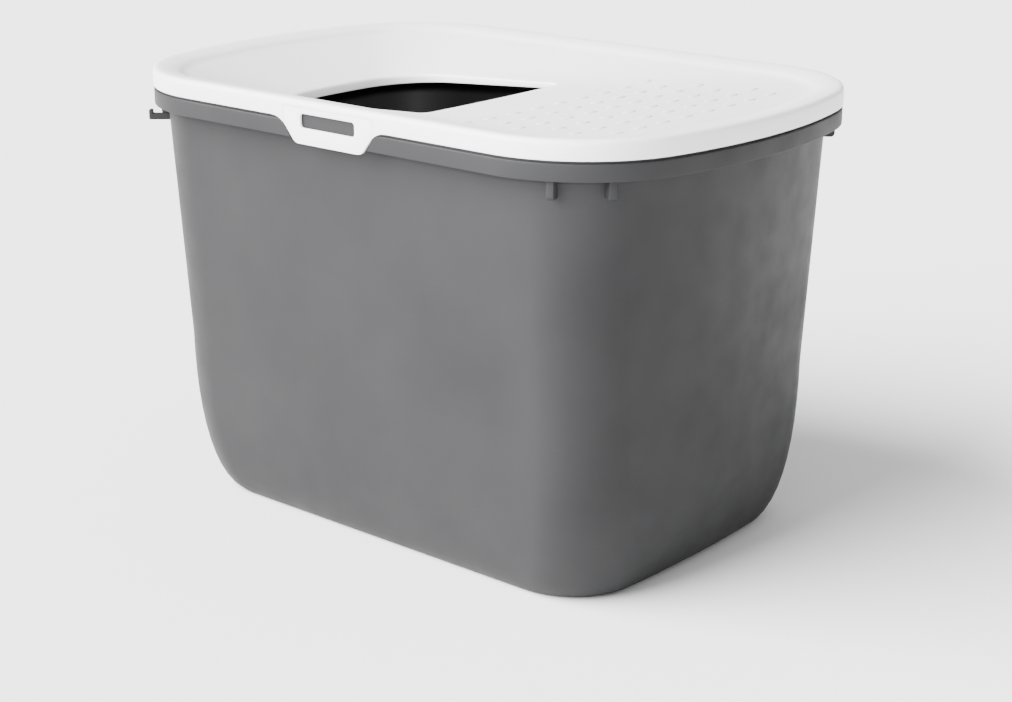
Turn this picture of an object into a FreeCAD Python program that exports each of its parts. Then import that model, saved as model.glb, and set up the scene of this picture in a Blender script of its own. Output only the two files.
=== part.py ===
import FreeCAD, Part
import os
from math import atan2
import Sketcher

# Top-entry cat litter box: a deep tapered tub, a lid with a sunk entry hole that drops over the
# tub's rim, and one snap tab in the middle of each long side of the lid.
# Frame: X along the long side, Y across it with the front at -Y, Z up, the origin in the middle
# of the surface the tub stands on. Millimetres and degrees.

doc = FreeCAD.newDocument("LitterBox")

# --- driving dimensions ---------------------------------------------------------------------
DIMENSIONS = {
    # overall
    "overall_length": 585.0,        # lid skirt, end to end
    "overall_width": 395.0,         # lid skirt, front to back
    "overall_height": 390.0,        # floor to the crest of the lid
    "plan_corner": 111.9,           # corner radius of the lid in plan
    "end_bow": 471.7,               # plan radius of the lid's bowed short sides
    # tub
    "tub_wall": 2.0,
    "tub_floor": 2.2,
    "foot_lift": 4.5,               # height of the gap between the two foot strips
    "foot_gap": 96.0,               # width of that gap
    "mouth_inset_ends": 17.4,       # wall's outer face at the rim, in from the lid skirt
    "mouth_inset_sides": 17.5,
    "mouth_corner": 67.0,
    "mouth_end_bow": 450.0,
    "waist_height": 145.0,          # where the straight wall turns into the rounded bottom
    "waist_inset_ends": 34.4,
    "waist_inset_sides": 31.0,
    "waist_corner": 62.0,
    "waist_end_bow": 645.0,
    "foot_inset_ends": 71.2,        # where the rounded bottom meets the floor
    "foot_inset_sides": 56.6,
    "foot_corner": 62.0,
    "foot_end_bow": 1390.0,
    # rolled rim of the tub
    "rim_wall": 2.2,
    "rim_depth": 27.0,              # rim's top to the lower edge of its band
    "band_inset": 0.5,              # band's outer face, in from the lid skirt
    "seam_gap": 2.0,                # groove between the band and the lid skirt
    "recess_margin": 2.0,           # round each snap tab in the band
    "rib_reach": 7.0,               # stop ribs below the rim, out from the wall
    "rib_width": 6.0,
    "rib_height": 15.0,
    "rib_angle_side": 20.0,         # round the corner from the long side
    "rib_angle_end": 57.0,
    # scoop hook on the front left corner
    "hook_angle": 40.8,             # from the long axis
    "hook_width": 6.0,
    "hook_bar_height": 5.6,
    "hook_drop": 13.1,              # bar's top below the rim band's lower edge
    "hook_overhang": 6.5,           # tip's outer face beyond the lid skirt
    "hook_tip_thickness": 3.6,
    "hook_tip_rise": 3.5,
    # lid
    "skin": 2.4,                    # wall of the lid's skirt, collar and tabs
    "panel": 2.3,                   # thickness of the sloping panel
    "lap_gap": 0.3,                 # skirt's inner face to the rim band
    "skirt_lap": 11.0,              # skirt's lower edge below the rim's top
    "crest_rise": 5.0,              # lid crest above the rim's top
    "crest_inset": 7.0,
    "lip_inset": 21.4,              # where the panel leaves the top of the rim
    "lip_drop": 2.4,
    "panel_inset": 28.0,
    "panel_drop": 6.2,
    # entry hole and its collar
    "entry_end_inset": 106.5,       # hole's left edge, in from the left end
    "entry_length": 194.0,
    "entry_width": 180.0,
    "entry_corner_left": 58.0,
    "entry_corner_right": 18.0,
    "entry_bow_left": 420.0,
    "entry_bow_right": 1400.0,
    "entry_drop": 28.0,             # hole's middle below the crest
    "entry_tilt": 3.4,              # the hole's plane falls towards the left end
    "collar_depth": 8.0,
    # snap tabs
    "tab_root_width": 100.0,
    "tab_foot_width": 74.0,
    "tab_corner": 9.0,
    "tab_below_skirt": 20.0,
    "tab_straight": 1.5,            # upright stretch of the tab's edge below the skirt
    "tab_gap": 0.3,                 # round the tab in the skirt's window
    "window_below_rim": 1.0,        # window's top below the rim's top
    "slot_width": 61.0,
    "slot_height": 11.7,
    "slot_corner": 3.0,
    "slot_above_skirt": 5.0,        # slot's top above the skirt's lower edge
}
dims = doc.addObject("Spreadsheet::Sheet", "Dims")
for row, (alias, value) in enumerate(DIMENSIONS.items(), start=1):
    dims.set(f"A{row}", alias)
    dims.set(f"B{row}", str(value))
    dims.setAlias(f"B{row}", alias)
doc.recompute()


def sized(expression):
    """The expression with every dimension's alias written as a reference to the sheet."""
    for alias in sorted(DIMENSIONS, key=len, reverse=True):
        expression = expression.replace(f"[{alias}]", f"Dims.{alias}")
    return expression


def value(expression):
    return float(FreeCAD.Units.Quantity(dims.evalExpression(sized(expression))))


def bind(item, **sizes):
    """Bind properties to expressions; an underscore in a name stands for a dot."""
    for name, expression in sizes.items():
        item.setExpression(name.replace("_", "."), sized(str(expression)))


# --- heights that several pieces share ------------------------------------------------------
RIM_TOP = "([overall_height] - [crest_rise])"
BAND_BOTTOM = f"({RIM_TOP} - [rim_depth])"
SKIRT_BOTTOM = f"({RIM_TOP} - [skirt_lap])"
FLOOR_TOP = "([foot_lift] + [tub_floor])"
HALF_LENGTH = "([overall_length] / 2)"
HALF_WIDTH = "([overall_width] / 2)"
UPSTAND_INSET = "([skin] + [lap_gap])"
BAND_TOP = f"({SKIRT_BOTTOM} - [seam_gap])"


def outline(name, height, half_length, half_width, corner, bow_right, bow_left=None,
            corner_left=None, middle="0", tilt="0"):
    """Closed sketch at a height: two straight long sides, two bowed ends and four round corners."""
    bow_left = bow_left or bow_right
    corner_left = corner_left or corner
    sketch = doc.addObject("Sketcher::SketchObject", name)
    sketch.Placement = FreeCAD.Placement(
        FreeCAD.Vector(value(middle), 0, value(height)),
        FreeCAD.Rotation(FreeCAD.Vector(0, 1, 0), -value(tilt)))
    bind(sketch, Placement_Base_x=middle, Placement_Base_z=height)
    a, b = value(half_length), value(half_width)
    up = FreeCAD.Vector(0, 0, 1)

    def corner_middle(bow, radius):
        return (a - bow) + ((bow - radius) ** 2 - (b - radius) ** 2) ** 0.5

    def arc(centre, radius, start, end):
        first = atan2(start[1] - centre[1], start[0] - centre[0])
        last = atan2(end[1] - centre[1], end[0] - centre[0])
        circle = Part.Circle(FreeCAD.Vector(centre[0], centre[1], 0), up, radius)
        return Part.ArcOfCircle(circle, first, last)

    right, left = value(bow_right), value(bow_left)
    r_right, r_left = value(corner), value(corner_left)
    x_right, x_left = corner_middle(right, r_right), -corner_middle(left, r_left)
    scale_right, scale_left = right / (right - r_right), left / (left - r_left)
    on_right = (a - right + (x_right - a + right) * scale_right, (b - r_right) * scale_right)
    on_left = (left - a + (x_left - left + a) * scale_left, (b - r_left) * scale_left)
    edges = [
        Part.LineSegment(FreeCAD.Vector(x_left, -b, 0), FreeCAD.Vector(x_right, -b, 0)),
        arc((x_right, r_right - b), r_right, (x_right, -b), (on_right[0], -on_right[1])),
        arc((a - right, 0), right, (on_right[0], -on_right[1]), on_right),
        arc((x_right, b - r_right), r_right, on_right, (x_right, b)),
        Part.LineSegment(FreeCAD.Vector(x_right, b, 0), FreeCAD.Vector(x_left, b, 0)),
        arc((x_left, b - r_left), r_left, (x_left, b), on_left),
        arc((left - a, 0), left, on_left, (on_left[0], -on_left[1])),
        arc((x_left, r_left - b), r_left, (on_left[0], -on_left[1]), (x_left, -b)),
    ]
    sketch.addGeometry(edges, False)
    START, END, CENTRE, ORIGIN, X_AXIS = 1, 2, 3, -1, -1
    for edge in range(len(edges)):
        following = (edge + 1) % len(edges)
        sketch.addConstraint(Sketcher.Constraint("Tangent", edge, END, following, START))
    sketch.addConstraint(Sketcher.Constraint("Horizontal", 0))
    sketch.addConstraint(Sketcher.Constraint("Horizontal", 4))
    for front, back in ((1, 3), (7, 5)):
        sketch.addConstraint(Sketcher.Constraint("Equal", front, back))
    for bowed in (2, 6):
        sketch.addConstraint(Sketcher.Constraint("PointOnObject", bowed, CENTRE, X_AXIS))
    sizes = [
        ("corner_right", Sketcher.Constraint("Radius", 1, r_right), corner),
        ("corner_left", Sketcher.Constraint("Radius", 7, r_left), corner_left),
        ("bow_right", Sketcher.Constraint("Radius", 2, right), bow_right),
        ("bow_left", Sketcher.Constraint("Radius", 6, left), bow_left),
        ("bow_right_x", Sketcher.Constraint("DistanceX", 2, CENTRE, ORIGIN, 1, right - a),
         f"({bow_right}) - ({half_length})"),
        ("bow_left_x", Sketcher.Constraint("DistanceX", ORIGIN, 1, 6, CENTRE, left - a),
         f"({bow_left}) - ({half_length})"),
        ("front_y", Sketcher.Constraint("DistanceY", 0, START, ORIGIN, 1, b), half_width),
        ("back_y", Sketcher.Constraint("DistanceY", ORIGIN, 1, 4, START, b), half_width),
    ]
    for label, constraint, expression in sizes:
        index = sketch.addConstraint(constraint)
        sketch.renameConstraint(index, label)
        sketch.setExpression(f"Constraints.{label}", sized(expression))
    return sketch


def loft(name, sketches):
    solid = doc.addObject("Part::Loft", name)
    solid.Sections = sketches
    solid.Solid = True
    solid.Ruled = True
    return solid


def fuse(name, shapes):
    fused = doc.addObject("Part::MultiFuse", name)
    fused.Shapes = shapes
    return fused


def cut(name, base, tool):
    result = doc.addObject("Part::Cut", name)
    result.Base, result.Tool = base, tool
    return result


def box(name, length, width, height, x, y, z):
    """Box with its low corner at x, y, z."""
    block = doc.addObject("Part::Box", name)
    bind(block, Length=length, Width=width, Height=height,
         Placement_Base_x=x, Placement_Base_y=y, Placement_Base_z=z)
    return block


def radial_box(name, centre, angle, reach, width, height, start, z):
    """Box that points outwards at an angle, its inner end at a radius from the centre."""
    block = doc.addObject("Part::Box", name)
    block.Placement.Rotation = FreeCAD.Rotation(FreeCAD.Vector(0, 0, 1), value(angle))
    cosine, sine = f"cos({angle} * 1 deg)", f"sin({angle} * 1 deg)"
    bind(block, Length=reach, Width=width, Height=height,
         Placement_Base_x=f"{centre[0]} + {start} * {cosine} + {width} / 2 * {sine}",
         Placement_Base_y=f"{centre[1]} + {start} * {sine} - {width} / 2 * {cosine}",
         Placement_Base_z=z)
    return block


def inset_outline(name, height, inset):
    """The lid's plan outline, drawn in by the same distance all round."""
    return outline(name, height, f"{HALF_LENGTH} - {inset}", f"{HALF_WIDTH} - {inset}",
                   f"[plan_corner] - {inset}", f"[end_bow] - {inset}")


TAB_BOTTOM = f"({SKIRT_BOTTOM} - [tab_below_skirt])"
WINDOW_TOP = f"({RIM_TOP} - [window_below_rim])"
KNUCKLE_HEIGHT = f"({WINDOW_TOP} - [tab_gap] - [skin] / 2)"


def tab_prism(name, plane_y, thickness, margin):
    """Snap tab's outline, grown by a margin, and extruded towards the front from a plane."""
    sketch = doc.addObject("Sketcher::SketchObject", f"{name}Outline")
    sketch.Placement = FreeCAD.Placement(
        FreeCAD.Vector(0, value(plane_y), 0),
        FreeCAD.Rotation(FreeCAD.Vector(1, 0, 0), 90))
    bind(sketch, Placement_Base_y=plane_y)
    root_width = f"([tab_root_width] + 2 * {margin})"
    foot_width = f"([tab_foot_width] + 2 * {margin})"
    knee_height = f"({SKIRT_BOTTOM} - [tab_straight])"
    bottom_height = f"({TAB_BOTTOM} - {margin})"
    root, foot = value(root_width) / 2, value(foot_width) / 2
    top, knee, bottom = value(KNUCKLE_HEIGHT), value(knee_height), value(bottom_height)
    points = [(-foot, bottom), (foot, bottom), (root, knee), (root, top), (-root, top),
              (-root, knee)]
    vectors = [FreeCAD.Vector(x, z, 0) for x, z in points]
    closed = zip(vectors, vectors[1:] + vectors[:1])
    sketch.addGeometry([Part.LineSegment(first, last) for first, last in closed], False)
    START, END, ORIGIN, Z_AXIS = 1, 2, -1, -2
    for edge in range(len(points)):
        following = (edge + 1) % len(points)
        sketch.addConstraint(Sketcher.Constraint("Coincident", edge, END, following, START))
    for edge in (0, 3):
        sketch.addConstraint(Sketcher.Constraint("Symmetric", edge, START, edge, END, Z_AXIS))
    sketch.addConstraint(Sketcher.Constraint("Vertical", 2))
    sketch.addConstraint(Sketcher.Constraint("Vertical", 4))
    sizes = [
        ("foot", Sketcher.Constraint("DistanceX", 0, START, 0, END, 2 * foot), foot_width),
        ("root", Sketcher.Constraint("DistanceX", 3, END, 3, START, 2 * root), root_width),
        ("bottom", Sketcher.Constraint("DistanceY", ORIGIN, 1, 0, START, bottom), bottom_height),
        ("knee_right", Sketcher.Constraint("DistanceY", ORIGIN, 1, 2, START, knee), knee_height),
        ("knee_left", Sketcher.Constraint("DistanceY", ORIGIN, 1, 4, END, knee), knee_height),
        ("top", Sketcher.Constraint("DistanceY", ORIGIN, 1, 3, START, top), KNUCKLE_HEIGHT),
    ]
    for label, constraint, expression in sizes:
        index = sketch.addConstraint(constraint)
        sketch.renameConstraint(index, label)
        sketch.setExpression(f"Constraints.{label}", sized(expression))
    prism = doc.addObject("Part::Extrusion", name)
    prism.Base = sketch
    prism.DirMode = "Normal"
    prism.Solid = True
    bind(prism, LengthFwd=thickness)
    return prism


# --- tub ------------------------------------------------------------------------------------
# The wall with its bottom, the rolled rim, the stop ribs and the scoop hook meet face to face.
def tub_outline(name, height, level, inset, rounding="0"):
    """Wall outline between the mouth (level 1) and the waist (level 0), or below the waist.

    rounding runs from 0 at the waist to 1 where the bottom meets the floor.
    """
    def blend(kind):
        low = f"([waist_{kind}] + ([foot_{kind}] - [waist_{kind}]) * {rounding})"
        return f"({low} + ([mouth_{kind}] - {low}) * {level})"

    return outline(name, height,
                   f"{HALF_LENGTH} - {blend('inset_ends')} - {inset}",
                   f"{HALF_WIDTH} - {blend('inset_sides')} - {inset}",
                   f"{blend('corner')} - {inset}", f"{blend('end_bow')} - {inset}")


def tub_form(name, bottom, inset):
    """Solid with the tub's tapered walls and rounded bottom, down to a given height."""
    sections = [tub_outline(f"{name}Mouth", RIM_TOP, "1", inset)]
    steps = 6
    for step in range(steps + 1):
        turn = f"({step} * 90 deg / {steps})"
        height = f"[waist_height] - ([waist_height] - {bottom}) * sin({turn})"
        rounding = f"(1 - cos({turn}))"
        sections.append(tub_outline(f"{name}Round{step}", height, "0", inset, rounding))
    return loft(name, sections)


tub_outside = tub_form("TubOutside", "0", "0")
tub_inside = tub_form("TubInside", FLOOR_TOP, "[tub_wall]")

upstand = loft("Upstand", [inset_outline("UpstandLow", BAND_BOTTOM, UPSTAND_INSET),
                           inset_outline("UpstandHigh", RIM_TOP, UPSTAND_INSET)])
band = loft("Band", [inset_outline("BandLow", BAND_BOTTOM, "[band_inset]"),
                     inset_outline("BandHigh", BAND_TOP, "[band_inset]")])
channel_inset = f"({UPSTAND_INSET} + [rim_wall])"
channel_top = f"({RIM_TOP} - [rim_wall])"
rim_channel = loft("RimChannel", [inset_outline("ChannelLow", BAND_BOTTOM, channel_inset),
                                  inset_outline("ChannelHigh", channel_top, channel_inset)])
CLEAR_OF_LID = 1.0      # how far a recess's cutting block reaches out past the lid's outline
RECESS_REACH = f"({UPSTAND_INSET} + {CLEAR_OF_LID})"
recesses = [tab_prism("FrontRecess", f"({UPSTAND_INSET} - {HALF_WIDTH})", RECESS_REACH,
                      "[recess_margin]"),
            tab_prism("RearRecess", f"({HALF_WIDTH} + {CLEAR_OF_LID})", RECESS_REACH,
                      "[recess_margin]")]
rim_shell = cut("RimShell", fuse("RimBlock", [upstand, band]),
                fuse("RimHollow", [rim_channel, tub_outside] + recesses))

# Corner arcs of the wall have their middles here, near the rim.
wall_corner_x = (f"({HALF_LENGTH} - [mouth_inset_ends] - [mouth_end_bow]"
                 " + sqrt(([mouth_end_bow] - [mouth_corner]) ^ 2"
                 f" - ({HALF_WIDTH} - [mouth_inset_sides] - [mouth_corner]) ^ 2))")
wall_corner_y = f"({HALF_WIDTH} - [mouth_inset_sides] - [mouth_corner])"
RIB_ROOT = 5.0      # a rib's or the hook's block starts this far inside the wall's face at the rim

# The hook stands on the front left corner, in line with the middle of the lid's corner arc.
lid_corner_x = (f"({HALF_LENGTH} - [end_bow] + sqrt(([end_bow] - [plan_corner]) ^ 2"
                f" - ({HALF_WIDTH} - [plan_corner]) ^ 2))")
lid_corner_y = f"({HALF_WIDTH} - [plan_corner])"
hook_centre = (f"-{lid_corner_x}", f"-{lid_corner_y}")
hook_angle = "(180 + [hook_angle])"
hook_tip = "([plan_corner] + [hook_overhang])"
# The bar is rooted in the wall's corner, whose middle lies further out than the lid's.
corner_shift = (f"(({wall_corner_x} - {lid_corner_x}) * cos([hook_angle] * 1 deg)"
                f" + ({wall_corner_y} - {lid_corner_y}) * sin([hook_angle] * 1 deg))")
hook_root = f"({corner_shift} + [mouth_corner] - {RIB_ROOT})"
hook_top = f"({BAND_BOTTOM} - [hook_drop])"
hook_bottom = f"({hook_top} - [hook_bar_height])"
hook_block = fuse("HookBlock", [
    radial_box("HookBar", hook_centre, hook_angle, f"{hook_tip} - {hook_root}", "[hook_width]",
               "[hook_bar_height]", hook_root, hook_bottom),
    radial_box("HookTip", hook_centre, hook_angle, "[hook_tip_thickness]", "[hook_width]",
               "[hook_bar_height] + [hook_tip_rise]", f"({hook_tip} - [hook_tip_thickness])",
               hook_bottom),
])
hook = cut("Hook", hook_block, tub_outside)
beside_ribs = fuse("BesideRibs", [tub_outside, rim_shell, hook_block])
ribs = []
for side_x in (-1, 1):
    for side_y in (-1, 1):
        centre = (f"{side_x} * {wall_corner_x}", f"{side_y} * {wall_corner_y}")
        # On the front left corner, the scoop hook takes the place of the rib near the long side.
        for kind in ("end",) if (side_x, side_y) == (-1, -1) else ("side", "end"):
            swing = f"(90 - [rib_angle_{kind}])"
            angle = swing if side_x > 0 else f"(180 - {swing})"
            angle = f"({side_y} * {angle})"
            fin = radial_box(
                f"Fin{len(ribs) + 1}", centre, angle, f"[rib_reach] + {RIB_ROOT}", "[rib_width]",
                "[rib_height] + [rib_width]", f"([mouth_corner] - {RIB_ROOT})",
                f"{BAND_BOTTOM} - [rib_height]")
            ribs.append(cut(f"Rib{len(ribs) + 1}", fin, beside_ribs))

foot_slot = box("FootSlot", "[overall_length]", "[foot_gap]", "[foot_lift]",
                f"-{HALF_LENGTH}", "-[foot_gap] / 2", "0")

tub = cut("Tub", tub_outside, fuse("TubHollow", [tub_inside, foot_slot]))

# --- lid ------------------------------------------------------------------------------------
ENTRY_MIDDLE = f"([entry_end_inset] + [entry_length] / 2 - {HALF_LENGTH})"
ENTRY_HEIGHT = "([overall_height] - [entry_drop])"


def entry_outline(name, drop, grow):
    """Outline of the entry hole in its tilted plane, a drop below it and grown all round."""
    return outline(name, f"{ENTRY_HEIGHT} - ({drop})", f"[entry_length] / 2 + {grow}",
                   f"[entry_width] / 2 + {grow}", f"[entry_corner_right] + {grow}",
                   f"[entry_bow_right] + {grow}", f"[entry_bow_left] + {grow}",
                   f"[entry_corner_left] + {grow}", middle=ENTRY_MIDDLE, tilt="[entry_tilt]")


def crest_outline(name, drop, inset):
    return inset_outline(name, f"[overall_height] - ({drop})", inset)


# Rounding of the crest: the drop below it and the inset, as shares of its rise and its inset.
CREST_ROUND = [(0.9, 0), (0.34, 0.14), (0.06, 0.5), (0, 1)]
# Where the lip starts to fall, as shares of the lip's drop and inset.
LIP_FALL = (0.2, 0.57)
lid_block = loft("LidBlock", [inset_outline("SkirtLow", SKIRT_BOTTOM, "0")] + [
    crest_outline(f"Crest{number}", f"{drop} * [crest_rise]", f"{inset} * [crest_inset]")
    for number, (drop, inset) in enumerate(CREST_ROUND)])
under_lid = loft("UnderLid", [inset_outline("UnderLow", SKIRT_BOTTOM, "[skin]"),
                              inset_outline("UnderHigh", RIM_TOP, "[skin]")])
lid_shell = cut("LidShell", lid_block, under_lid)
funnel_block = loft("FunnelBlock", [
    crest_outline("FunnelTop", "[lip_drop]", "[lip_inset]"),
    crest_outline("FunnelBend", "[lip_drop] + [panel]", "[lip_inset]"),
    crest_outline("FunnelLow", "[panel_drop] + [panel]", "[panel_inset]"),
    entry_outline("FunnelEnd", "[panel]", "[skin]"),
])
collar_block = loft("CollarBlock", [entry_outline("CollarTop", "0", "[skin]"),
                                    entry_outline("CollarLow", "[collar_depth]", "[skin]")])
dish = loft("Dish", [
    crest_outline("DishTop", "0", "[crest_inset]"),
    crest_outline("DishLip", f"{LIP_FALL[0]} * [lip_drop]", f"{LIP_FALL[1]} * [lip_inset]"),
    crest_outline("DishEdge", "[lip_drop]", "[lip_inset]"),
    crest_outline("DishSlope", "[panel_drop]", "[panel_inset]"),
    entry_outline("DishEnd", "0", "0"),
])
entry_hole = loft("EntryHole", [entry_outline("EntryTop", "-[skin]", "0"),
                                entry_outline("EntryLow", "[collar_depth] + [skin]", "0")])
windows = []
for side in (-1, 1):
    windows.append(box(
        f"TabWindow{len(windows)}", "[tab_root_width] + 2 * [tab_gap]", "2 * [skin]",
        f"{WINDOW_TOP} - {SKIRT_BOTTOM} + [skin]", "-[tab_root_width] / 2 - [tab_gap]",
        f"{side} * {HALF_WIDTH} - [skin]", f"{SKIRT_BOTTOM} - [skin]"))
lid = cut("Lid", fuse("LidSolid", [lid_shell, funnel_block, collar_block]),
          fuse("LidHollow", [dish, entry_hole] + windows))


# --- snap tabs ------------------------------------------------------------------------------
def snap_tab(name, side):
    """Plate with a slot that hangs from a round knuckle in the skirt's window."""
    plane_y = f"{HALF_WIDTH}" if side > 0 else f"([skin] - {HALF_WIDTH})"
    plate = tab_prism(f"{name}Plate", plane_y, "[skin]", "0")
    bottom = value(TAB_BOTTOM)
    doc.recompute()
    rounded = doc.addObject("Part::Fillet", f"{name}Rounded")
    rounded.Base = plate
    corner = value("[tab_corner]")
    low_corners = [number for number, edge in enumerate(plate.Shape.Edges, start=1)
                   if edge.BoundBox.ZLength < 1e-6 and edge.BoundBox.XLength < 1e-6
                   and abs(edge.BoundBox.ZMax - bottom) < 1e-6]
    rounded.Edges = [(number, corner, corner) for number in low_corners]
    knuckle = doc.addObject("Part::Cylinder", f"{name}Knuckle")
    knuckle.Placement.Rotation = FreeCAD.Rotation(FreeCAD.Vector(0, 1, 0), 90)
    bind(knuckle, Radius="[skin] / 2", Height="[tab_root_width]",
         Placement_Base_x="-[tab_root_width] / 2",
         Placement_Base_y=f"{side} * ({HALF_WIDTH} - [skin] / 2)",
         Placement_Base_z=KNUCKLE_HEIGHT)
    slot_top = f"({SKIRT_BOTTOM} + [slot_above_skirt])"
    slot = box(f"{name}SlotBlock", "[slot_width]", "3 * [skin]", "[slot_height]",
               "-[slot_width] / 2", f"{side} * {HALF_WIDTH} - 1.5 * [skin]",
               f"{slot_top} - [slot_height]")
    doc.recompute()
    slot_rounded = doc.addObject("Part::Fillet", f"{name}Slot")
    slot_rounded.Base = slot
    slot_corner = value("[slot_corner]")
    across = [number for number, edge in enumerate(slot.Shape.Edges, start=1)
              if edge.BoundBox.ZLength < 1e-6 and edge.BoundBox.XLength < 1e-6]
    slot_rounded.Edges = [(number, slot_corner, slot_corner) for number in across]
    return cut(name, fuse(f"{name}Solid", [rounded, knuckle]), slot_rounded)


pieces = {"tub": tub, "tub_rim": rim_shell, "scoop_hook": hook, "lid": lid,
          "front_tab": snap_tab("FrontTab", -1), "rear_tab": snap_tab("RearTab", 1)}
pieces.update({f"stop_rib_{number}": piece for number, piece in enumerate(ribs, start=1)})
for node, piece in pieces.items():
    piece.Label = node

# --- check and write ------------------------------------------------------------------------
doc.recompute()
for item in doc.Objects:
    if "Invalid" in item.State or "Error" in item.State:
        raise RuntimeError(f"{item.Name} failed: {item.State}")
os.makedirs("parts", exist_ok=True)
for node, piece in pieces.items():
    shape = piece.Shape
    if shape.isNull() or not shape.isValid() or len(shape.Solids) != 1:
        raise RuntimeError(f"{node} is not one valid solid")
    shape.exportStep(f"parts/{node}.step")
    print(node, round(shape.Volume / 1000, 1), "cm3", len(shape.Faces), "faces", shape.BoundBox)
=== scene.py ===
# %% [markdown]
# # A top-entry cat litter box
#
# The box is two large plastic mouldings. A deep grey tub holds the litter, and a white lid drops
# over its rim. The cat climbs in through a sunk hole in the left half of the lid, and shakes its
# paws clean on the sloping deck beside it. One snap tab in the middle of each long side of the
# lid springs over the tub's rim.
#
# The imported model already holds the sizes, the places and the joints. This lesson gives the box
# its looks: thin rounded walls with soft edges, and plastic that behaves like plastic. Everything
# is in metres, X runs along the box, the front is at -Y and Z points up.

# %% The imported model
from math import asin, atan2, cos, pi, radians, sin, sqrt

import bmesh
import bpy
from mathutils import Matrix, Vector


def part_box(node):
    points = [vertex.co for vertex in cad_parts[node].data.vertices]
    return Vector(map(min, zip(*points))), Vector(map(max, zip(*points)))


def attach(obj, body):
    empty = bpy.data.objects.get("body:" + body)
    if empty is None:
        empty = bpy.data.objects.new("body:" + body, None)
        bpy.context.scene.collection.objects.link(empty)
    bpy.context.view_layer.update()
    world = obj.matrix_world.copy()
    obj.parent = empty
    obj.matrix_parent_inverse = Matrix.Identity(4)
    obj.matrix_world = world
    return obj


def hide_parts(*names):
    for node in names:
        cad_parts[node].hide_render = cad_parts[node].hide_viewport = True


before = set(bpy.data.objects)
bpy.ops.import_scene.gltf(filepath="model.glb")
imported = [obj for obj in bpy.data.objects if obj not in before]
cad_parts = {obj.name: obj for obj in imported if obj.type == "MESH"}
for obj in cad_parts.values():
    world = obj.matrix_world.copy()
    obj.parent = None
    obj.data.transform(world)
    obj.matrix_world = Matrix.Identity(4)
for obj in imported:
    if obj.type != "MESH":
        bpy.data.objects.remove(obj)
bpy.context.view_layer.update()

# %% [markdown]
# ## Sizes that several pieces share
#
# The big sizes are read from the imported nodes, so the looks stay on the model when it is packed
# again. The smaller ones, such as wall thicknesses and corner radii, are the sizes of the
# moulding itself. They are written in millimetres, as a mould maker would write them.

# %% Shared sizes
mm = 0.001
half_length, half_width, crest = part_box("lid")[1]   # the lid's skirt and its highest point
rim_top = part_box("tub")[1][2]                       # the lid rests on the tub's rim
tab_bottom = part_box("front_tab")[0][2]
tab_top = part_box("front_tab")[1][2]
skirt_bottom = rim_top - 11 * mm
band_top = skirt_bottom - 2 * mm                    # a 2 mm groove parts lid and tub
band_bottom = rim_top - 27 * mm
skin = 2.4 * mm                                     # wall of the lid and its tabs
plan_corner, end_bow = 111.9 * mm, 471.7 * mm       # the lid's outline from above
upstand_inset = 2.7 * mm                            # rim's outer face, inside the lid's skirt
spare = 1 * mm                                      # a cutting block ends this far past its cut
print(f"lid {2000 * half_length:.0f} x {2000 * half_width:.0f} mm, crest {1000 * crest:.0f} mm up")

# %% [markdown]
# ## One outline for every wall
#
# Seen from above, the rim, the lid and the entry hole have the same kind of outline: two straight
# long sides, two gently bowed ends and four round corners that meet them smoothly. It could be
# drawn as a Bezier curve, but two such curves would have different numbers of points and could
# not be joined face to face. So one function puts a fixed number of points on each stretch, and
# any outline can be joined to any other.

# %% Outline of a wall
END_STEPS, CORNER_STEPS, SIDE_STEPS = 8, 22, 16


def corner_centre(half_x, half_y, corner, bow):
    """Centre of the round corner that meets the long side and the bowed end smoothly."""
    centre_x = half_x - bow + sqrt((bow - corner) ** 2 - (half_y - corner) ** 2)
    return centre_x, half_y - corner


def quarter_outline(half_x, half_y, corner, bow):
    """From the middle of the bowed end, round the corner, to the middle of the long side."""
    centre_x, centre_y = corner_centre(half_x, half_y, corner, bow)
    turn = atan2(centre_y, centre_x - half_x + bow)
    points = []
    for step in range(END_STEPS):
        angle = turn * step / END_STEPS
        points.append((half_x - bow + bow * cos(angle), bow * sin(angle)))
    for step in range(CORNER_STEPS):
        angle = turn + (pi / 2 - turn) * step / CORNER_STEPS
        points.append((centre_x + corner * cos(angle), centre_y + corner * sin(angle)))
    for step in range(SIDE_STEPS + 1):
        points.append((centre_x * (1 - step / SIDE_STEPS), half_y))
    return points


def outline(half_x, half_y, corner, bow, height, corner_left=None, bow_left=None):
    """Closed outline at a height, counter-clockwise from above, as a ring of points."""
    right = quarter_outline(half_x, half_y, corner, bow)
    left = quarter_outline(half_x, half_y, corner_left or corner, bow_left or bow)
    points = right[:-1] + [(-x, y) for x, y in reversed(left[1:])]
    points += [(-x, -y) for x, y in left[:-1]] + [(x, -y) for x, y in reversed(right[1:])]
    return [Vector((x, y, height)) for x, y in points]


def lid_outline(inset, height):
    """The lid's outline, drawn in by the same distance all round."""
    return outline(half_length - inset, half_width - inset, plan_corner - inset,
                   end_bow - inset, height)


print("points in every outline:", len(lid_outline(0, crest)))

# %% [markdown]
# ## From outlines to a wall
#
# A moulded wall is a profile carried round the outline. Carrying it with a curve's bevel object
# would keep one profile all the way, but here the profile changes: the tub's corners are tighter
# at the floor than at the rim. So the profile is a list of whole rings. A ring that marks a
# corner of the profile gets a radius, and is replaced by a short row of rings round that corner.
# The soft edges come from there, and they catch the light as real moulded edges do.

# %% Rounding a profile of rings
ROUND_STEPS = 4
NEARLY_HALF = 0.48                  # two corners on one short stretch must not meet


def between(first, last, count):
    """Evenly spaced rings between two rings."""
    return [[a.lerp(b, step / (count + 1)) for a, b in zip(first, last)]
            for step in range(1, count + 1)]


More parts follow.
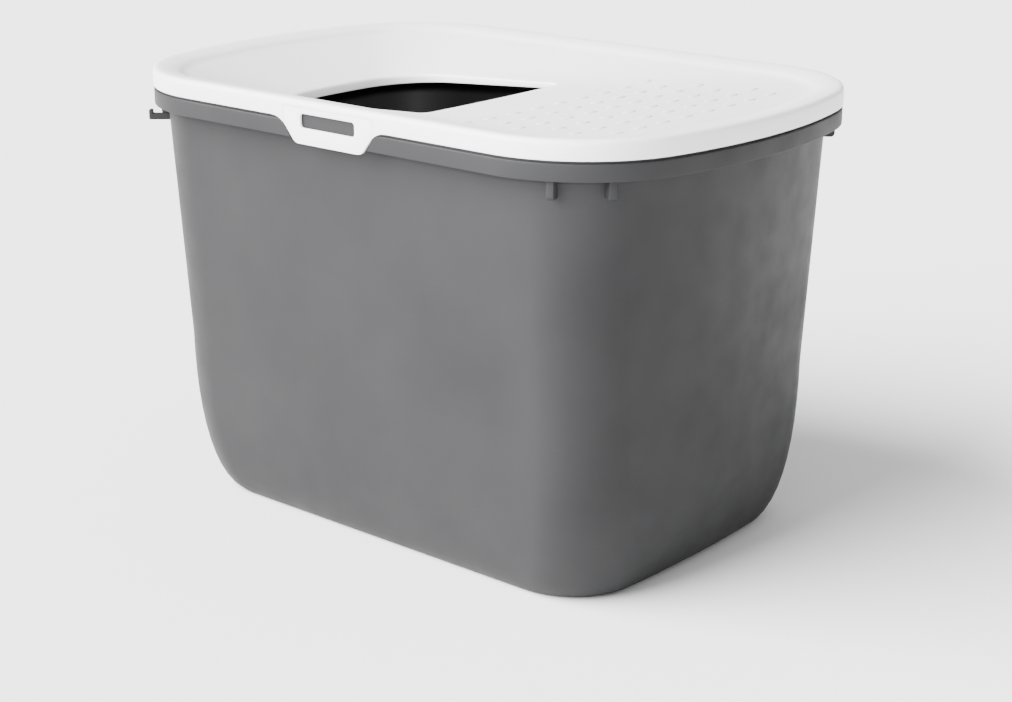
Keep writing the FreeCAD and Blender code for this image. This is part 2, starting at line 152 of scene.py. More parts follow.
def towards(start, goal, distance):
    """The point at a distance from start towards goal, at most nearly half way."""
    path = goal - start
    if not path.length:
        return start.copy()
    return start + path * min(distance / path.length, NEARLY_HALF)


def rounded(profile, closed=False):
    """Rings of a profile of (ring, radius) pairs, with its corners rounded."""
    rings = []
    for number, (ring, radius) in enumerate(profile):
        has_neighbours = closed or 0 < number < len(profile) - 1
        if not radius or not has_neighbours:
            rings.append(ring)
            continue
        before = profile[number - 1][0]
        after = profile[(number + 1) % len(profile)][0]
        for step in range(ROUND_STEPS + 1):
            share = step / ROUND_STEPS
            soft = []
            for point, old, new in zip(ring, before, after):
                start, stop = towards(point, old, radius), towards(point, new, radius)
                soft.append(start.lerp(point, share).lerp(point.lerp(stop, share), share))
            rings.append(soft)
    return rings


print("rings that round one corner of a profile:", ROUND_STEPS + 1)

# %% [markdown]
# ## Building the mesh by hand
#
# The mesh starts as a circle with as many points as an outline. Its points are put on the first
# ring, and the edge loop is extruded once for every further ring, just as a modeller extrudes a
# loop again and again along a wall. Each point remembers its place in the ring in an integer
# attribute, which the extrusion copies, so it is easy to put the new points where they belong.

# %% Extruding ring by ring
def deselect_all():
    if bpy.context.object and bpy.context.object.mode != "OBJECT":
        bpy.ops.object.mode_set(mode="OBJECT")
    bpy.ops.object.select_all(action="DESELECT")


def skin_rings(name, rings, closed):
    """Closed shell through the rings: joined end to start, or with both ends filled."""
    deselect_all()
    bpy.ops.mesh.primitive_circle_add(vertices=len(rings[0]), radius=half_width)
    piece = bpy.context.object
    piece.name = piece.data.name = name
    bpy.ops.object.mode_set(mode="EDIT")
    mesh = bmesh.from_edit_mesh(piece.data)
    place = mesh.verts.layers.int.new("place")
    for number, vertex in enumerate(mesh.verts):
        vertex[place] = number
        vertex.co = rings[0][number]
    for ring in rings[1:] + ([rings[0]] if closed else []):
        bpy.ops.mesh.extrude_edges_move()
        mesh = bmesh.from_edit_mesh(piece.data)
        place = mesh.verts.layers.int["place"]
        for vertex in mesh.verts:
            if vertex.select:
                vertex.co = ring[vertex[place]]
    bpy.ops.mesh.select_all(action="SELECT")
    if closed:
        bpy.ops.mesh.remove_doubles(threshold=0.001 * mm)
    else:
        bpy.ops.mesh.fill_holes(sides=0)
    bpy.ops.mesh.normals_make_consistent(inside=False)
    bpy.ops.object.mode_set(mode="OBJECT")
    print(name, len(piece.data.vertices), "points", len(piece.data.polygons), "faces")
    return piece


# %% [markdown]
# ## Cutting and finishing
#
# Windows, slots and recesses are cut by a boolean modifier with a cutting block, because a
# straight-sided opening in a curved wall has its own edges that no ring of the wall follows. The
# block is thrown away once the modifier is applied. Every finished piece is shaded smooth, except
# over edges sharper than a set angle, and then rides on the body it belongs to. Two starting
# shapes serve the cutters, the ribs, the hook and the tabs alike: a block between two corners,
# and a flat plate with any outline.

# %% Cutting and bevelling
def use_modifier(piece, kind, **settings):
    """Add a modifier, set it and apply it."""
    deselect_all()
    bpy.context.view_layer.objects.active = piece
    piece.select_set(True)
    modifier = piece.modifiers.new(kind.title(), kind)
    for name, setting in settings.items():
        setattr(modifier, name, setting)
    bpy.ops.object.modifier_apply(modifier=modifier.name)


def cut(piece, cutter):
    use_modifier(piece, "BOOLEAN", object=cutter, operation="DIFFERENCE", solver="EXACT")
    bpy.data.objects.remove(cutter)


def bevel_edges(piece, width, segments=3, sharper_than=30):
    use_modifier(piece, "BEVEL", width=width, segments=segments, limit_method="ANGLE",
                 angle_limit=radians(sharper_than), harden_normals=False)


# %% Finishing and riding
def finish_piece(piece, body, material, smooth_to=38):
    """Shade it smooth, give it its plastic and let it ride on its body."""
    deselect_all()
    bpy.context.view_layer.objects.active = piece
    piece.select_set(True)
    bpy.ops.object.transform_apply(location=True, rotation=True, scale=True)
    bpy.ops.object.shade_smooth_by_angle(angle=radians(smooth_to))
    piece.data.materials.clear()
    piece.data.materials.append(material)
    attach(piece, body)


# %% Blocks and plates
def add_block(name, low, high):
    """A block between two corners, with its place in its mesh."""
    deselect_all()
    bpy.ops.mesh.primitive_cube_add(size=1, location=[(a + b) / 2 for a, b in zip(low, high)])
    block = bpy.context.object
    block.name = block.data.name = name
    block.scale = [b - a for a, b in zip(low, high)]
    bpy.ops.object.transform_apply(location=True, rotation=True, scale=True)
    return block


def add_plate(name, points, near_y, far_y):
    """A flat outline of (x, z) points, filled and extruded from one y to another."""
    deselect_all()
    bpy.ops.mesh.primitive_circle_add(vertices=len(points), radius=half_width)
    plate = bpy.context.object
    plate.name = plate.data.name = name
    bpy.ops.object.mode_set(mode="EDIT")
    mesh = bmesh.from_edit_mesh(plate.data)
    for vertex, (x, z) in zip(mesh.verts, points):
        vertex.co = (x, near_y, z)
    bpy.ops.mesh.edge_face_add()
    bpy.ops.mesh.extrude_region_move(TRANSFORM_OT_translate={"value": (0, far_y - near_y, 0)})
    bpy.ops.mesh.select_all(action="SELECT")
    bpy.ops.mesh.normals_make_consistent(inside=False)
    bpy.ops.object.mode_set(mode="OBJECT")
    return plate


# %% [markdown]
# ## The two plastics
#
# Both mouldings are polypropylene. The tub's mould is spark-eroded, which leaves a fine matt
# grain. The lid's mould is smoother and gives a satin white. Real plastic is never one flat
# colour: the pigment clouds a little, handling leaves faint level scuffs, the gloss changes where
# hands have rubbed, and the grain breaks up every highlight. All four come from noise on the
# piece's own coordinates, so they stay on the piece when it moves. The bump is a few hundredths
# of a millimetre high, as the grain is. Light also wanders a few millimetres inside the white
# plastic, which softens its shadows, while the dark pigment keeps the grey one opaque.

# %% Noise for the plastics
def add_noise(nodes, links, coordinates, scale, detail=2.0, roughness=0.5):
    noise = nodes.new("ShaderNodeTexNoise")
    noise.inputs["Scale"].default_value = scale
    noise.inputs["Detail"].default_value = detail
    noise.inputs["Roughness"].default_value = roughness
    links.new(coordinates, noise.inputs["Vector"])
    return noise.outputs["Fac"]


def add_range(nodes, links, source, low, high, to_low, to_high):
    span = nodes.new("ShaderNodeMapRange")
    span.inputs["From Min"].default_value = low
    span.inputs["From Max"].default_value = high
    span.inputs["To Min"].default_value = to_low
    span.inputs["To Max"].default_value = to_high
    links.new(source, span.inputs["Value"])
    return span.outputs["Result"]


# %% Polypropylene
PLASTIC_IOR = 1.49
INNER_LIGHT = 0.6                   # share of the light that wanders inside white plastic
# How many clouds, scuffs, rubbed places and grains there are to a metre, roughly.
CLOUDS, SCUFFS, RUBS, GRAINS = 9.0, 26.0, 31.0, 1500.0
FLATTEN = 22.0                      # scuffs are this much longer than they are high


def polypropylene(name, dark, light, gloss, shine, depth, grain_height, scuff):
    """Moulded plastic: clouded pigment, uneven gloss, mould grain and faint scuffs.

    depth is how far light wanders inside the plastic; at 0 the plastic is opaque.
    """
    material = bpy.data.materials.new(name)
    material.use_nodes = True
    nodes, links = material.node_tree.nodes, material.node_tree.links
    shader = nodes["Principled BSDF"]
    shader.inputs["IOR"].default_value = PLASTIC_IOR
    shader.inputs["Specular IOR Level"].default_value = shine
    if depth:
        shader.inputs["Subsurface Weight"].default_value = INNER_LIGHT
        shader.inputs["Subsurface Radius"].default_value = (1.0, 1.0, 1.0)
        shader.inputs["Subsurface Scale"].default_value = depth
    place = nodes.new("ShaderNodeTexCoord").outputs["Object"]

    cloud = add_noise(nodes, links, place, CLOUDS, detail=4.0)
    pigment = nodes.new("ShaderNodeValToRGB")
    pigment.color_ramp.elements[0].position = 0.3
    pigment.color_ramp.elements[0].color = (*dark, 1)
    pigment.color_ramp.elements[1].position = 0.7
    pigment.color_ramp.elements[1].color = (*light, 1)
    links.new(cloud, pigment.inputs["Fac"])

    # Scuffs are short level streaks, from noise that is squeezed upwards.
    squeezed = nodes.new("ShaderNodeMapping")
    squeezed.inputs["Scale"].default_value = (1.0, 1.0, FLATTEN)
    links.new(place, squeezed.inputs["Vector"])
    streak = add_noise(nodes, links, squeezed.outputs["Vector"], SCUFFS, detail=5.0, roughness=0.62)
    streaks = add_range(nodes, links, streak, 0.62, 0.8, 0.0, scuff)
    worn = nodes.new("ShaderNodeMix")
    worn.data_type = "RGBA"
    worn.inputs["B"].default_value = (*[min(1.0, part * 1.25 + 0.005) for part in light], 1)
    links.new(streaks, worn.inputs["Factor"])
    links.new(pigment.outputs["Color"], worn.inputs["A"])
    links.new(worn.outputs["Result"], shader.inputs["Base Color"])

    rubbed = add_noise(nodes, links, place, RUBS, detail=3.0)
    links.new(add_range(nodes, links, rubbed, 0.3, 0.7, gloss[0], gloss[1]),
              shader.inputs["Roughness"])

    grain = add_noise(nodes, links, place, GRAINS, detail=2.0)
    bump = nodes.new("ShaderNodeBump")
    bump.inputs["Distance"].default_value = grain_height
    bump.inputs["Strength"].default_value = 1.0
    links.new(grain, bump.inputs["Height"])
    links.new(bump.outputs["Normal"], shader.inputs["Normal"])
    return material


grey_plastic = polypropylene("grey_polypropylene", dark=(0.021, 0.021, 0.022),
                             light=(0.026, 0.026, 0.027), gloss=(0.46, 0.58),
                             shine=0.15, depth=0, grain_height=0.03 * mm, scuff=0.25)
white_plastic = polypropylene("white_polypropylene", dark=(0.81, 0.81, 0.815),
                              light=(0.84, 0.84, 0.842), gloss=(0.34, 0.44),
                              shine=0.5, depth=3 * mm, grain_height=0.015 * mm, scuff=0.1)
print("plastics:", grey_plastic.name, white_plastic.name)

# %% [markdown]
# ## The tub
#
# The tub is one thin wall: a flat floor, a rounded bottom, a tapered side and a rolled rim. The
# rim turns outwards, drops down inside the lid's skirt, steps out to a visible band, and ends in
# a free edge with a hollow channel behind it. It could be modelled as a solid block with a
# Solidify modifier, but the rim's wall doubles back on itself. So the whole profile is drawn
# once, from the middle of the floor inside, up the inner face, over the rim and down the outer
# face to the floor again.

# %% Walls of the tub
wall, floor_top = 2.0 * mm, 6.7 * mm
waist = 145 * mm                    # the straight wall turns into the rounded bottom here
# Inset at the ends, inset at the sides, corner radius and bow of the ends, in millimetres.
MOUTH, WAIST, FOOT = (17.4, 17.5, 67, 450), (34.4, 31.0, 62, 645), (71.2, 56.6, 62, 1390)
BOTTOM_STEPS = 12


def wall_outline(sizes, inset, height):
    ends, sides, corner, bow = [size * mm for size in sizes]
    return outline(half_length - ends - inset, half_width - sides - inset, corner - inset,
                   bow - inset, height)


def part_way(first, last, share):
    return [a + (b - a) * share for a, b in zip(first, last)]


def straight_wall(inset, height):
    """Ring on the tapered wall, between the waist and the mouth."""
    share = (height - waist) / (rim_top - waist)
    return wall_outline(part_way(WAIST, MOUTH, share), inset, height)


def round_bottom(inset, lowest):
    """Rings from the floor up the rounded bottom to the waist."""
    rings = []
    for step in range(BOTTOM_STEPS, -1, -1):
        turn = pi / 2 * step / BOTTOM_STEPS
        sizes = part_way(WAIST, FOOT, 1 - cos(turn))
        rings.append(wall_outline(sizes, inset, waist - (waist - lowest) * sin(turn)))
    return rings


inner_face = [(ring, 0) for ring in round_bottom(wall, floor_top)]
outer_face = [(ring, 0) for ring in reversed(round_bottom(0, 0))]
print("rings round the bottom:", len(inner_face))

# %% [markdown]
# The rim is a list of corners with a radius each. The band's top edge is the roundest one,
# because it shows below the lid as a thin bright line.

# %% The rolled rim and the shell
rim_wall, band_inset = 2.2 * mm, 0.5 * mm
channel_inset = upstand_inset + rim_wall
channel_top = rim_top - rim_wall
WALL_RINGS = 5

rim = [
    (straight_wall(wall, rim_top), 1.5 * mm),
    (lid_outline(upstand_inset, rim_top), 1.8 * mm),
    (lid_outline(upstand_inset, band_top), 0.5 * mm),
    (lid_outline(band_inset, band_top), 1.6 * mm),
    (lid_outline(band_inset, band_bottom), 0.9 * mm),
    (lid_outline(channel_inset, band_bottom), 0.6 * mm),
    (lid_outline(channel_inset, channel_top), 1.5 * mm),
    (straight_wall(0, channel_top), 1.5 * mm),
]
rise = [(ring, 0) for ring in between(inner_face[-1][0], rim[0][0], WALL_RINGS)]
fall = [(ring, 0) for ring in between(rim[-1][0], outer_face[0][0], WALL_RINGS)]
tub_shell = skin_rings("tub_shell", rounded(inner_face + rise + rim + fall + outer_face),
                       closed=False)

# %% [markdown]
# Under the tub, a shallow slot runs from end to end, so that the box stands on two long strips
# and does not rock on an uneven floor. In the band, a recess leaves a little room round each
# snap tab. Both are cut.

# %% Foot slot and tab recesses
foot_gap, foot_lift, foot_round = 96 * mm, 4.5 * mm, 3 * mm
slot_block = add_block("foot_slot_block", (-half_length, -foot_gap / 2, -foot_lift),
                       (half_length, foot_gap / 2, foot_lift))
bevel_edges(slot_block, foot_round, segments=4)
cut(tub_shell, slot_block)

tab_root, tab_foot, tab_corner = 50 * mm, 37 * mm, 9 * mm
tab_knee = skirt_bottom - 1.5 * mm
recess_margin = 2 * mm
recess = [(-tab_foot - recess_margin, tab_bottom - recess_margin),
          (tab_foot + recess_margin, tab_bottom - recess_margin),
          (tab_root + recess_margin, tab_knee), (tab_root + recess_margin, tab_top),
          (-tab_root - recess_margin, tab_top), (-tab_root - recess_margin, tab_knee)]
for side in (-1, 1):
    reach = [side * (half_width - upstand_inset), side * (half_width + spare)]
    cut(tub_shell, add_plate("recess_block", recess, *reach))
finish_piece(tub_shell, "tub", grey_plastic)
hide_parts("tub", "tub_rim")
print("tub faces after cutting:", len(tub_shell.data.polygons))

# %% [markdown]
# ## Stop ribs
#
# Two short ribs stand under the rim at every corner, but only one on the front left corner,
# where the scoop hook takes the other one's place. Tubs are stacked inside each other for
# transport, and the ribs keep a tub from wedging fast in the next one. Each is a thin fin with a
# rounded lower end. One rib is modelled lying along +X, from a block whose lower outer edge gets
# a wide bevel. Then it is copied to its seven places, each copy with its own mesh.

# %% One rib and its copies
rib_reach, rib_width, rib_height = 7 * mm, 6 * mm, 15 * mm
rib_root = 3 * mm                   # rooted this deep behind the wall's face at the mouth
rib_round, rib_edge = 3.5 * mm, 0.7 * mm
rib_low, rib_high = band_bottom - rib_height, band_bottom + rib_width
# Where the ribs stand round a corner, in degrees from where the long side ends.
BY_THE_SIDE, BY_THE_END = 20, 57
mouth_end, mouth_side, wall_corner, mouth_bow = [size * mm for size in MOUTH]
corner_x, corner_y = corner_centre(half_length - mouth_end, half_width - mouth_side,
                                   wall_corner, mouth_bow)

rib = add_block("rib_fin", (wall_corner - rib_root, -rib_width / 2, rib_low),
                (wall_corner + rib_reach, rib_width / 2, rib_high))
bpy.ops.object.mode_set(mode="EDIT")
bpy.ops.mesh.select_all(action="DESELECT")
mesh = bmesh.from_edit_mesh(rib.data)
for edge in mesh.edges:
    if all(v.co.x > wall_corner and v.co.z < band_bottom for v in edge.verts):
        edge.select_set(True)
bpy.ops.mesh.bevel(offset=rib_round, segments=5)
bpy.ops.object.mode_set(mode="OBJECT")
bevel_edges(rib, rib_edge, segments=2)

rib_count = 0
for side_x in (-1, 1):
    for side_y in (-1, 1):
        beside_hook = (side_x, side_y) == (-1, -1)
        for from_long_side in (BY_THE_END,) if beside_hook else (BY_THE_SIDE, BY_THE_END):
            rib_count += 1
            copy = rib.copy()
            copy.data = rib.data.copy()
            copy.name = copy.data.name = f"rib_fin_{rib_count}"
            bpy.context.collection.objects.link(copy)
            across = side_y * (90 - from_long_side)
            angle = radians(across if side_x > 0 else 180 - across)
            copy.data.transform(Matrix.Translation((side_x * corner_x, side_y * corner_y, 0))
                                @ Matrix.Rotation(angle, 4, "Z"))
            finish_piece(copy, "tub", grey_plastic)
            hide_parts(f"stop_rib_{rib_count}")
bpy.data.objects.remove(rib)
print("stop ribs:", rib_count)

# %% [markdown]
# ## Scoop hook
#
# At the front left corner a small hook sticks out under the rim. The litter scoop hangs there by
# the loop of its handle. It is a flat bar with a lip at its end, all with soft edges: a block
# whose end face is extruded upwards to make the lip, then bevelled.

# %% The hook
HOOK_TURN = 40.8                    # degrees from the left end towards the front
hook_width, hook_bar, hook_drop = 6 * mm, 5.6 * mm, 13.1 * mm
hook_overhang, hook_lip, hook_lip_rise = 6.5 * mm, 3.6 * mm, 3.5 * mm
hook_length, hook_edge = 22 * mm, 1.1 * mm
lid_corner_x, lid_corner_y = corner_centre(half_length, half_width, plan_corner, end_bow)
hook_tip = plan_corner + hook_overhang
hook_root = hook_tip - hook_length
hook_top = band_bottom - hook_drop

hook = add_block("hook_arm", (hook_root, -hook_width / 2, hook_top - hook_bar),
                 (hook_tip - hook_lip, hook_width / 2, hook_top))
bpy.ops.object.mode_set(mode="EDIT")
bpy.ops.mesh.select_all(action="DESELECT")
mesh = bmesh.from_edit_mesh(hook.data)
for face in mesh.faces:
    if face.normal.x > 0.9:
        face.select_set(True)
bpy.ops.mesh.extrude_region_move(TRANSFORM_OT_translate={"value": (hook_lip, 0, 0)})
bpy.ops.mesh.select_all(action="DESELECT")
mesh = bmesh.from_edit_mesh(hook.data)
for face in mesh.faces:
    if face.normal.z > 0.9 and face.calc_center_median().x > hook_tip - hook_lip:
        face.select_set(True)
bpy.ops.mesh.extrude_region_move(TRANSFORM_OT_translate={"value": (0, 0, hook_lip_rise)})
bpy.ops.object.mode_set(mode="OBJECT")
bevel_edges(hook, hook_edge, segments=4)
hook.data.transform(Matrix.Translation((-lid_corner_x, -lid_corner_y, 0))
                    @ Matrix.Rotation(radians(180 + HOOK_TURN), 4, "Z"))
finish_piece(hook, "tub", grey_plastic)
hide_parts("scoop_hook")
print("hook faces:", len(hook.data.polygons))

# %% [markdown]
# ## The lid
#
# The lid is a shallow dish with a turned-down skirt. From the skirt the wall rounds over a
# narrow crest, falls inwards as a dish, and ends at the sunk entry hole, whose plane tilts down
# towards the left end. A short collar hangs from the hole's edge. Where the tub's profile had
# two ends, this one is closed: it runs over the top and back along the underside. The dish runs
# from the lid's own outline to the hole's outline, so here the rings change shape on their way.

# %% Rings of the dish and the hole
entry_length, entry_width = 194 * mm, 180 * mm
entry_corner_left, entry_corner_right = 58 * mm, 9 * mm
entry_bow_left, entry_bow_right = 420 * mm, 1400 * mm
entry_from_end, entry_sunk = 106.5 * mm, 28 * mm
entry_x = -half_length + entry_from_end + entry_length / 2
entry_height = crest - entry_sunk
ENTRY_SLOPE = 3.4                   # degrees, down towards the left end
entry_tilt = Matrix.Rotation(radians(-ENTRY_SLOPE), 4, "Y")
collar_left, collar_right, panel = 8 * mm, 5 * mm, 2.3 * mm
dish_inset, dish_drop = 28 * mm, 6.2 * mm
DISH_RINGS = 14


def entry_outline(grow, drop):
    """Outline of the entry hole in its tilted plane, grown all round, a drop below it."""
    ring = outline(entry_length / 2 + grow, entry_width / 2 + grow, entry_corner_right + grow,
                   entry_bow_right + grow, 0, entry_corner_left + grow, entry_bow_left + grow)
    middle = Matrix.Translation((entry_x, 0, entry_height - drop))
    return [middle @ entry_tilt @ point for point in ring]


def collar_edge(grow):
    """Lower edge of the collar, which is deeper at the left end than at the right."""
    ring = entry_outline(grow, 0)
    for point in ring:
        share = (point.x - entry_x) / entry_length + 0.5
        point.z -= collar_left + (collar_right - collar_left) * share
    return ring


dish_edge = lid_outline(dish_inset, crest - dish_drop)
hole_edge = entry_outline(0, 0)
under_edge = lid_outline(dish_inset, crest - dish_drop - panel)
under_hole = entry_outline(skin, panel)
dish = [(ring, 0) for ring in between(dish_edge, hole_edge, DISH_RINGS)]
under_dish = [(ring, 0) for ring in between(under_hole, under_edge, DISH_RINGS)]
print(f"hole {1000 * entry_length:.0f} x {1000 * entry_width:.0f} mm, middle at x {entry_x:.3f}")

# %% The lid's profile and shell
crest_width, seat_inset = 9.5 * mm, 23.7 * mm
shoulder_inset, shoulder_drop = 21.4 * mm, 2.4 * mm

lid_profile = [
    (lid_outline(0, skirt_bottom), 0.7 * mm),
    (lid_outline(0, crest), 4.6 * mm),
    (lid_outline(crest_width, crest), 4.5 * mm),
    (lid_outline(shoulder_inset, crest - shoulder_drop), 6 * mm),
    (dish_edge, 8 * mm), *dish,
    (hole_edge, 2.2 * mm),
    (collar_edge(0), 0.9 * mm),
    (collar_edge(skin), 0.9 * mm),
    (under_hole, 1.5 * mm), *under_dish,
    (under_edge, 4 * mm),
    (lid_outline(seat_inset, rim_top), 2 * mm),
    (lid_outline(skin, rim_top), 0.8 * mm),
    (lid_outline(skin, skirt_bottom), 0.7 * mm),
]
lid_shell = skin_rings("lid_shell", rounded(lid_profile, closed=True), closed=True)

# %% [markdown]
# Each snap tab hangs in a window of the skirt, with a hair's breadth of air round it. The tab's
# slanted sides run into the skirt's lower edge in wide hollow curves, so that the plastic does
# not tear there. The skirt's own share of every curve is a small corner beside the window. It
# could be drawn as part of the skirt's rings, but then every ring of the lid would need points
# there. So four thin corners are joined to the shell by a boolean union.

# %% Windows for the tabs and the corners beside them
window_gap, top_gap, hair = 0.15 * mm, 0.2 * mm, 0.03 * mm
window_top = tab_top + top_gap
root_spread = 13 * mm
root_end = tab_root + root_spread           # the curve ends here, on the skirt's lower edge
root_radius = skirt_bottom - tab_bottom
ROOT_STEPS = 6


def root_curve(first, last):
    """Points of the hollow curve between two slopes, as (x, z) points of the right side."""
    slopes = [first + (last - first) * step / ROOT_STEPS for step in range(ROOT_STEPS + 1)]
    return [(root_end - root_radius * sin(slope), tab_bottom + root_radius * cos(slope))
            for slope in slopes]


corner_start = asin((root_end - tab_root - window_gap) / root_radius)
corner_overlap = 1.5 * mm                   # the corner reaches this far up into the skirt
corner_high = skirt_bottom + corner_overlap
window_side = tab_root + window_gap
corner = [*root_curve(corner_start, 0), (root_end, corner_high), (window_side, corner_high)]
for side in (-1, 1):
    reach = sorted([side * (half_width - skin - spare), side * (half_width + spare)])
    cut(lid_shell, add_block("window_block", (-window_side, reach[0], skirt_bottom - skin),
                             (window_side, reach[1], window_top)))
    faces_y = (side * (half_width - skin + hair), side * (half_width - hair))
    for end in (-1, 1):
        root_piece = add_plate("root_corner", [(end * x, z) for x, z in corner], *faces_y)
        use_modifier(lid_shell, "BOOLEAN", object=root_piece, operation="UNION", solver="EXACT")
        bpy.data.objects.remove(root_piece)
finish_piece(lid_shell, "lid", white_plastic)
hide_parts("lid")
print("lid faces after cutting:", len(lid_shell.data.polygons))

# %% [markdown]
# ## Grip nubs
#
# The deck beside the hole carries rows of low oval nubs. They give the cat's paws a grip, and
# knock the litter out from between its toes. Each is a shallow dome. A bump in the material
# would not give a nub an edge of its own, so they are modelled: the upper part of a sphere,
# flattened and closed underneath, and a copy for every place in a staggered pattern, which are
# then joined, because they all belong to the lid's one moulding. A ray cast down on
# the lid tells where the deck is and which way it faces, so every nub lies flat on the slope.

# %% One nub
nub_width, nub_length, nub_height = 8 * mm, 15 * mm, 1 * mm
NUB_SUNK = 0.3                      # share of its height that stays below the deck
deselect_all()
bpy.ops.mesh.primitive_uv_sphere_add(segments=20, ring_count=12, radius=1)
nub = bpy.context.object
nub.name = nub.data.name = "nub"
nub.scale = (nub_width / 2, nub_length / 2, nub_height)
bpy.ops.object.transform_apply(location=True, rotation=True, scale=True)
bpy.ops.object.mode_set(mode="EDIT")
bpy.ops.mesh.select_all(action="DESELECT")
mesh = bmesh.from_edit_mesh(nub.data)
for vertex in mesh.verts:
    if vertex.co.z < -NUB_SUNK * nub_height:
        vertex.select_set(True)
bpy.ops.mesh.delete(type="VERT")
bpy.ops.mesh.select_all(action="SELECT")
bpy.ops.mesh.fill_holes(sides=0)
bpy.ops.mesh.normals_make_consistent(inside=False)
bpy.ops.object.mode_set(mode="OBJECT")
print("nub faces:", len(nub.data.polygons))

# %% Rows of nubs on the deck
ROWS, LONG_ROW, SHORT_ROW = 6, 9, 8
row_pitch, nub_pitch = 28 * mm, 30 * mm
first_row = 78 * mm
bpy.context.view_layer.update()
nubs = []
for row in range(ROWS):
    count = LONG_ROW if row % 2 == 0 else SHORT_ROW
    for place in range(count):
        above = Vector((first_row + row * row_pitch, (place - (count - 1) / 2) * nub_pitch,
                        2 * crest))
        _, spot, facing, _ = lid_shell.ray_cast(above, (0, 0, -1))
        copy = nub.copy()
        copy.data = nub.data.copy()
        bpy.context.collection.objects.link(copy)
        lie = Vector((0, 0, 1)).rotation_difference(facing).to_matrix().to_4x4()
        copy.data.transform(Matrix.Translation(spot) @ lie)
        nubs.append(copy)
bpy.data.objects.remove(nub)
deselect_all()
for copy in nubs:
    copy.select_set(True)
bpy.context.view_layer.objects.active = nubs[0]
bpy.ops.object.join()
grip_nubs = bpy.context.object
grip_nubs.name = grip_nubs.data.name = "grip_nubs"
finish_piece(grip_nubs, "lid", white_plastic)
print("nubs:", len(nubs), "faces:", len(grip_nubs.data.polygons))

# %% [markdown]
# ## Snap tabs
#
# A tab is a plate with a slot for a fingertip, round lower corners and sides that spread upwards
# in the hollow curves that the skirt's corners carry on. The outline is laid down point by point,
# with real arcs at the corners, then filled and extruded, and the slot is cut out. A small bevel
# softens all its edges.

# %% One tab and its twin
def arc_points(corner, before, after, radius, steps=8):
    """Arc that rounds a corner between two straight lines, as (x, z) points."""
    corner, before, after = Vector(corner), Vector(before), Vector(after)
    first, second = (before - corner).normalized(), (after - corner).normalized()
    half_angle = first.angle(second) / 2
    centre = corner + (first + second).normalized() * radius / sin(half_angle)
    start = corner + first * radius * cos(half_angle) / sin(half_angle) - centre
    turn = start.angle_signed(corner + second * radius * cos(half_angle) / sin(half_angle)
                              - centre)
    return [tuple(centre + Matrix.Rotation(-turn * step / steps, 2) @ start)
            for step in range(steps + 1)]


def rounded_outline(corners):
    """Closed outline of (point, radius) corners with real arcs."""
    points = []
    for number, (corner, radius) in enumerate(corners):
        before = corners[number - 1][0]
        after = corners[(number + 1) % len(corners)][0]
        points += arc_points(corner, before, after, radius) if radius else [corner]
    return points


slot_half, slot_round, tab_edge = 30.5 * mm, 3 * mm, 0.35 * mm
slot_top, slot_low = skirt_bottom + 5 * mm, skirt_bottom - 6.7 * mm
steepest = asin(root_radius / (root_end - tab_foot))
tab_side = root_curve(steepest, asin(root_spread / root_radius))
tab_corners = [((-tab_foot, tab_bottom), tab_corner), ((tab_foot, tab_bottom), tab_corner)]
tab_corners += [(point, 0) for point in tab_side] + [((tab_root, tab_top), 0),
                                                     ((-tab_root, tab_top), 0)]
tab_corners += [((-x, z), 0) for x, z in reversed(tab_side)]
slot_points = [(-slot_half, slot_low), (slot_half, slot_low),
               (slot_half, slot_top), (-slot_half, slot_top)]
slot_corners = [(point, slot_round) for point in slot_points]

for side, name in ((-1, "front_tab"), (1, "rear_tab")):
    faces_y = (side * (half_width - skin), side * half_width)
    tab = add_plate(f"{name}_plate", rounded_outline(tab_corners), *faces_y)
    beyond = (side * (half_width - 2 * skin), side * (half_width + skin))
    cut(tab, add_plate("slot_block", rounded_outline(slot_corners), *beyond))
    bevel_edges(tab, tab_edge, segments=3, sharper_than=50)
    finish_piece(tab, name, white_plastic)
    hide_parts(name)
    print(tab.name, len(tab.data.polygons), "faces")

# %% [markdown]
# ## Floor, light and camera
#
# The box stands on a plain pale floor that runs far past the edge of the view. The main light
# is a sun with a very wide disc, as soft as a large window at the front left, and it models the
# rounded corners. A small spot lamp looks into the hole, which would be black without it, and the
# pale surroundings keep the short side readable.

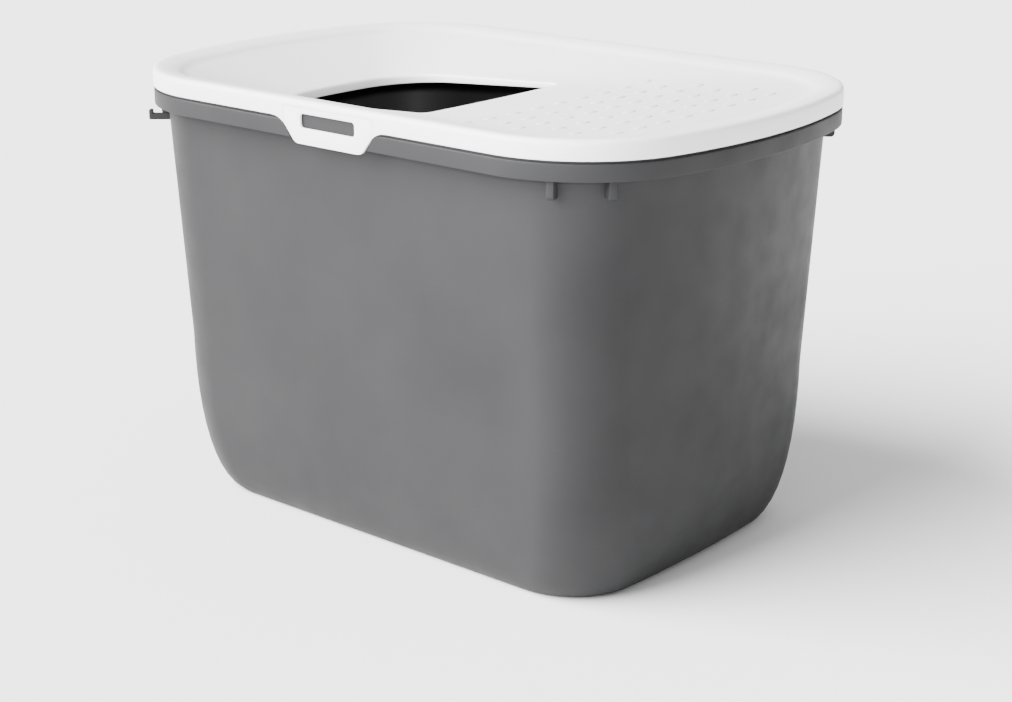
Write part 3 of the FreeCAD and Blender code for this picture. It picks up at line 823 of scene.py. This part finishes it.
# %% Floor
FLOOR_SIZE, PAPER_WHITE, PAPER_ROUGH = 200, 0.93, 0.9
deselect_all()
bpy.ops.mesh.primitive_plane_add(size=FLOOR_SIZE)
studio_floor = bpy.context.object
studio_floor.name = "studio_floor"
paper = bpy.data.materials.new("studio_paper")
paper.use_nodes = True
paper_shader = paper.node_tree.nodes["Principled BSDF"]
paper_shader.inputs["Base Color"].default_value = (PAPER_WHITE, PAPER_WHITE, PAPER_WHITE, 1)
paper_shader.inputs["Roughness"].default_value = PAPER_ROUGH
studio_floor.data.materials.append(paper)

# %% Light
def stand_up(name, data, place, aim):
    """Put a lamp or the camera at a place, looking at a point."""
    thing = bpy.data.objects.new(name, data)
    bpy.context.collection.objects.link(thing)
    thing.location = place
    thing.rotation_euler = (Vector(aim) - thing.location).to_track_quat("-Z", "Y").to_euler()
    return thing


SUN_DISC, SUN_STRENGTH = 60, 18     # degrees across; watts to a square metre
SPOT_CONE, SPOT_POWER, SPOT_FADE, SPOT_BULB = 18, 120, 0.7, 0.05
SURROUNDINGS = 0.9

sun = bpy.data.lights.new("key_light", "SUN")
sun.angle, sun.energy = radians(SUN_DISC), SUN_STRENGTH
stand_up("key_light", sun, Vector((-0.47, -0.70, 0.58)).normalized() * 3, (0, 0, 0))

spot_lamp = bpy.data.lights.new("hole_light", "SPOT")
spot_lamp.energy, spot_lamp.shadow_soft_size = SPOT_POWER, SPOT_BULB
spot_lamp.spot_size, spot_lamp.spot_blend = radians(SPOT_CONE), SPOT_FADE
stand_up("hole_light", spot_lamp, (1.0, -1.25, 0.8), (-0.13, 0.04, 0.36))

world = bpy.data.worlds.new("studio")
world.use_nodes = True
world.node_tree.nodes["Background"].inputs["Color"].default_value = (1, 1, 1, 1)
world.node_tree.nodes["Background"].inputs["Strength"].default_value = SURROUNDINGS
bpy.context.scene.world = world
print("lamps:", sun.name, spot_lamp.name)

# %% Camera
view = bpy.data.cameras.new("view")
view.lens, view.sensor_width = 71.35, 36
view.shift_x, view.shift_y = 0.0035, -0.0208
camera = stand_up("camera", view, (1.1254, -1.2969, 0.6908), (0.0153, -0.0010, 0.1599))
bpy.context.scene.camera = camera
print("camera at", [round(part, 3) for part in camera.location])
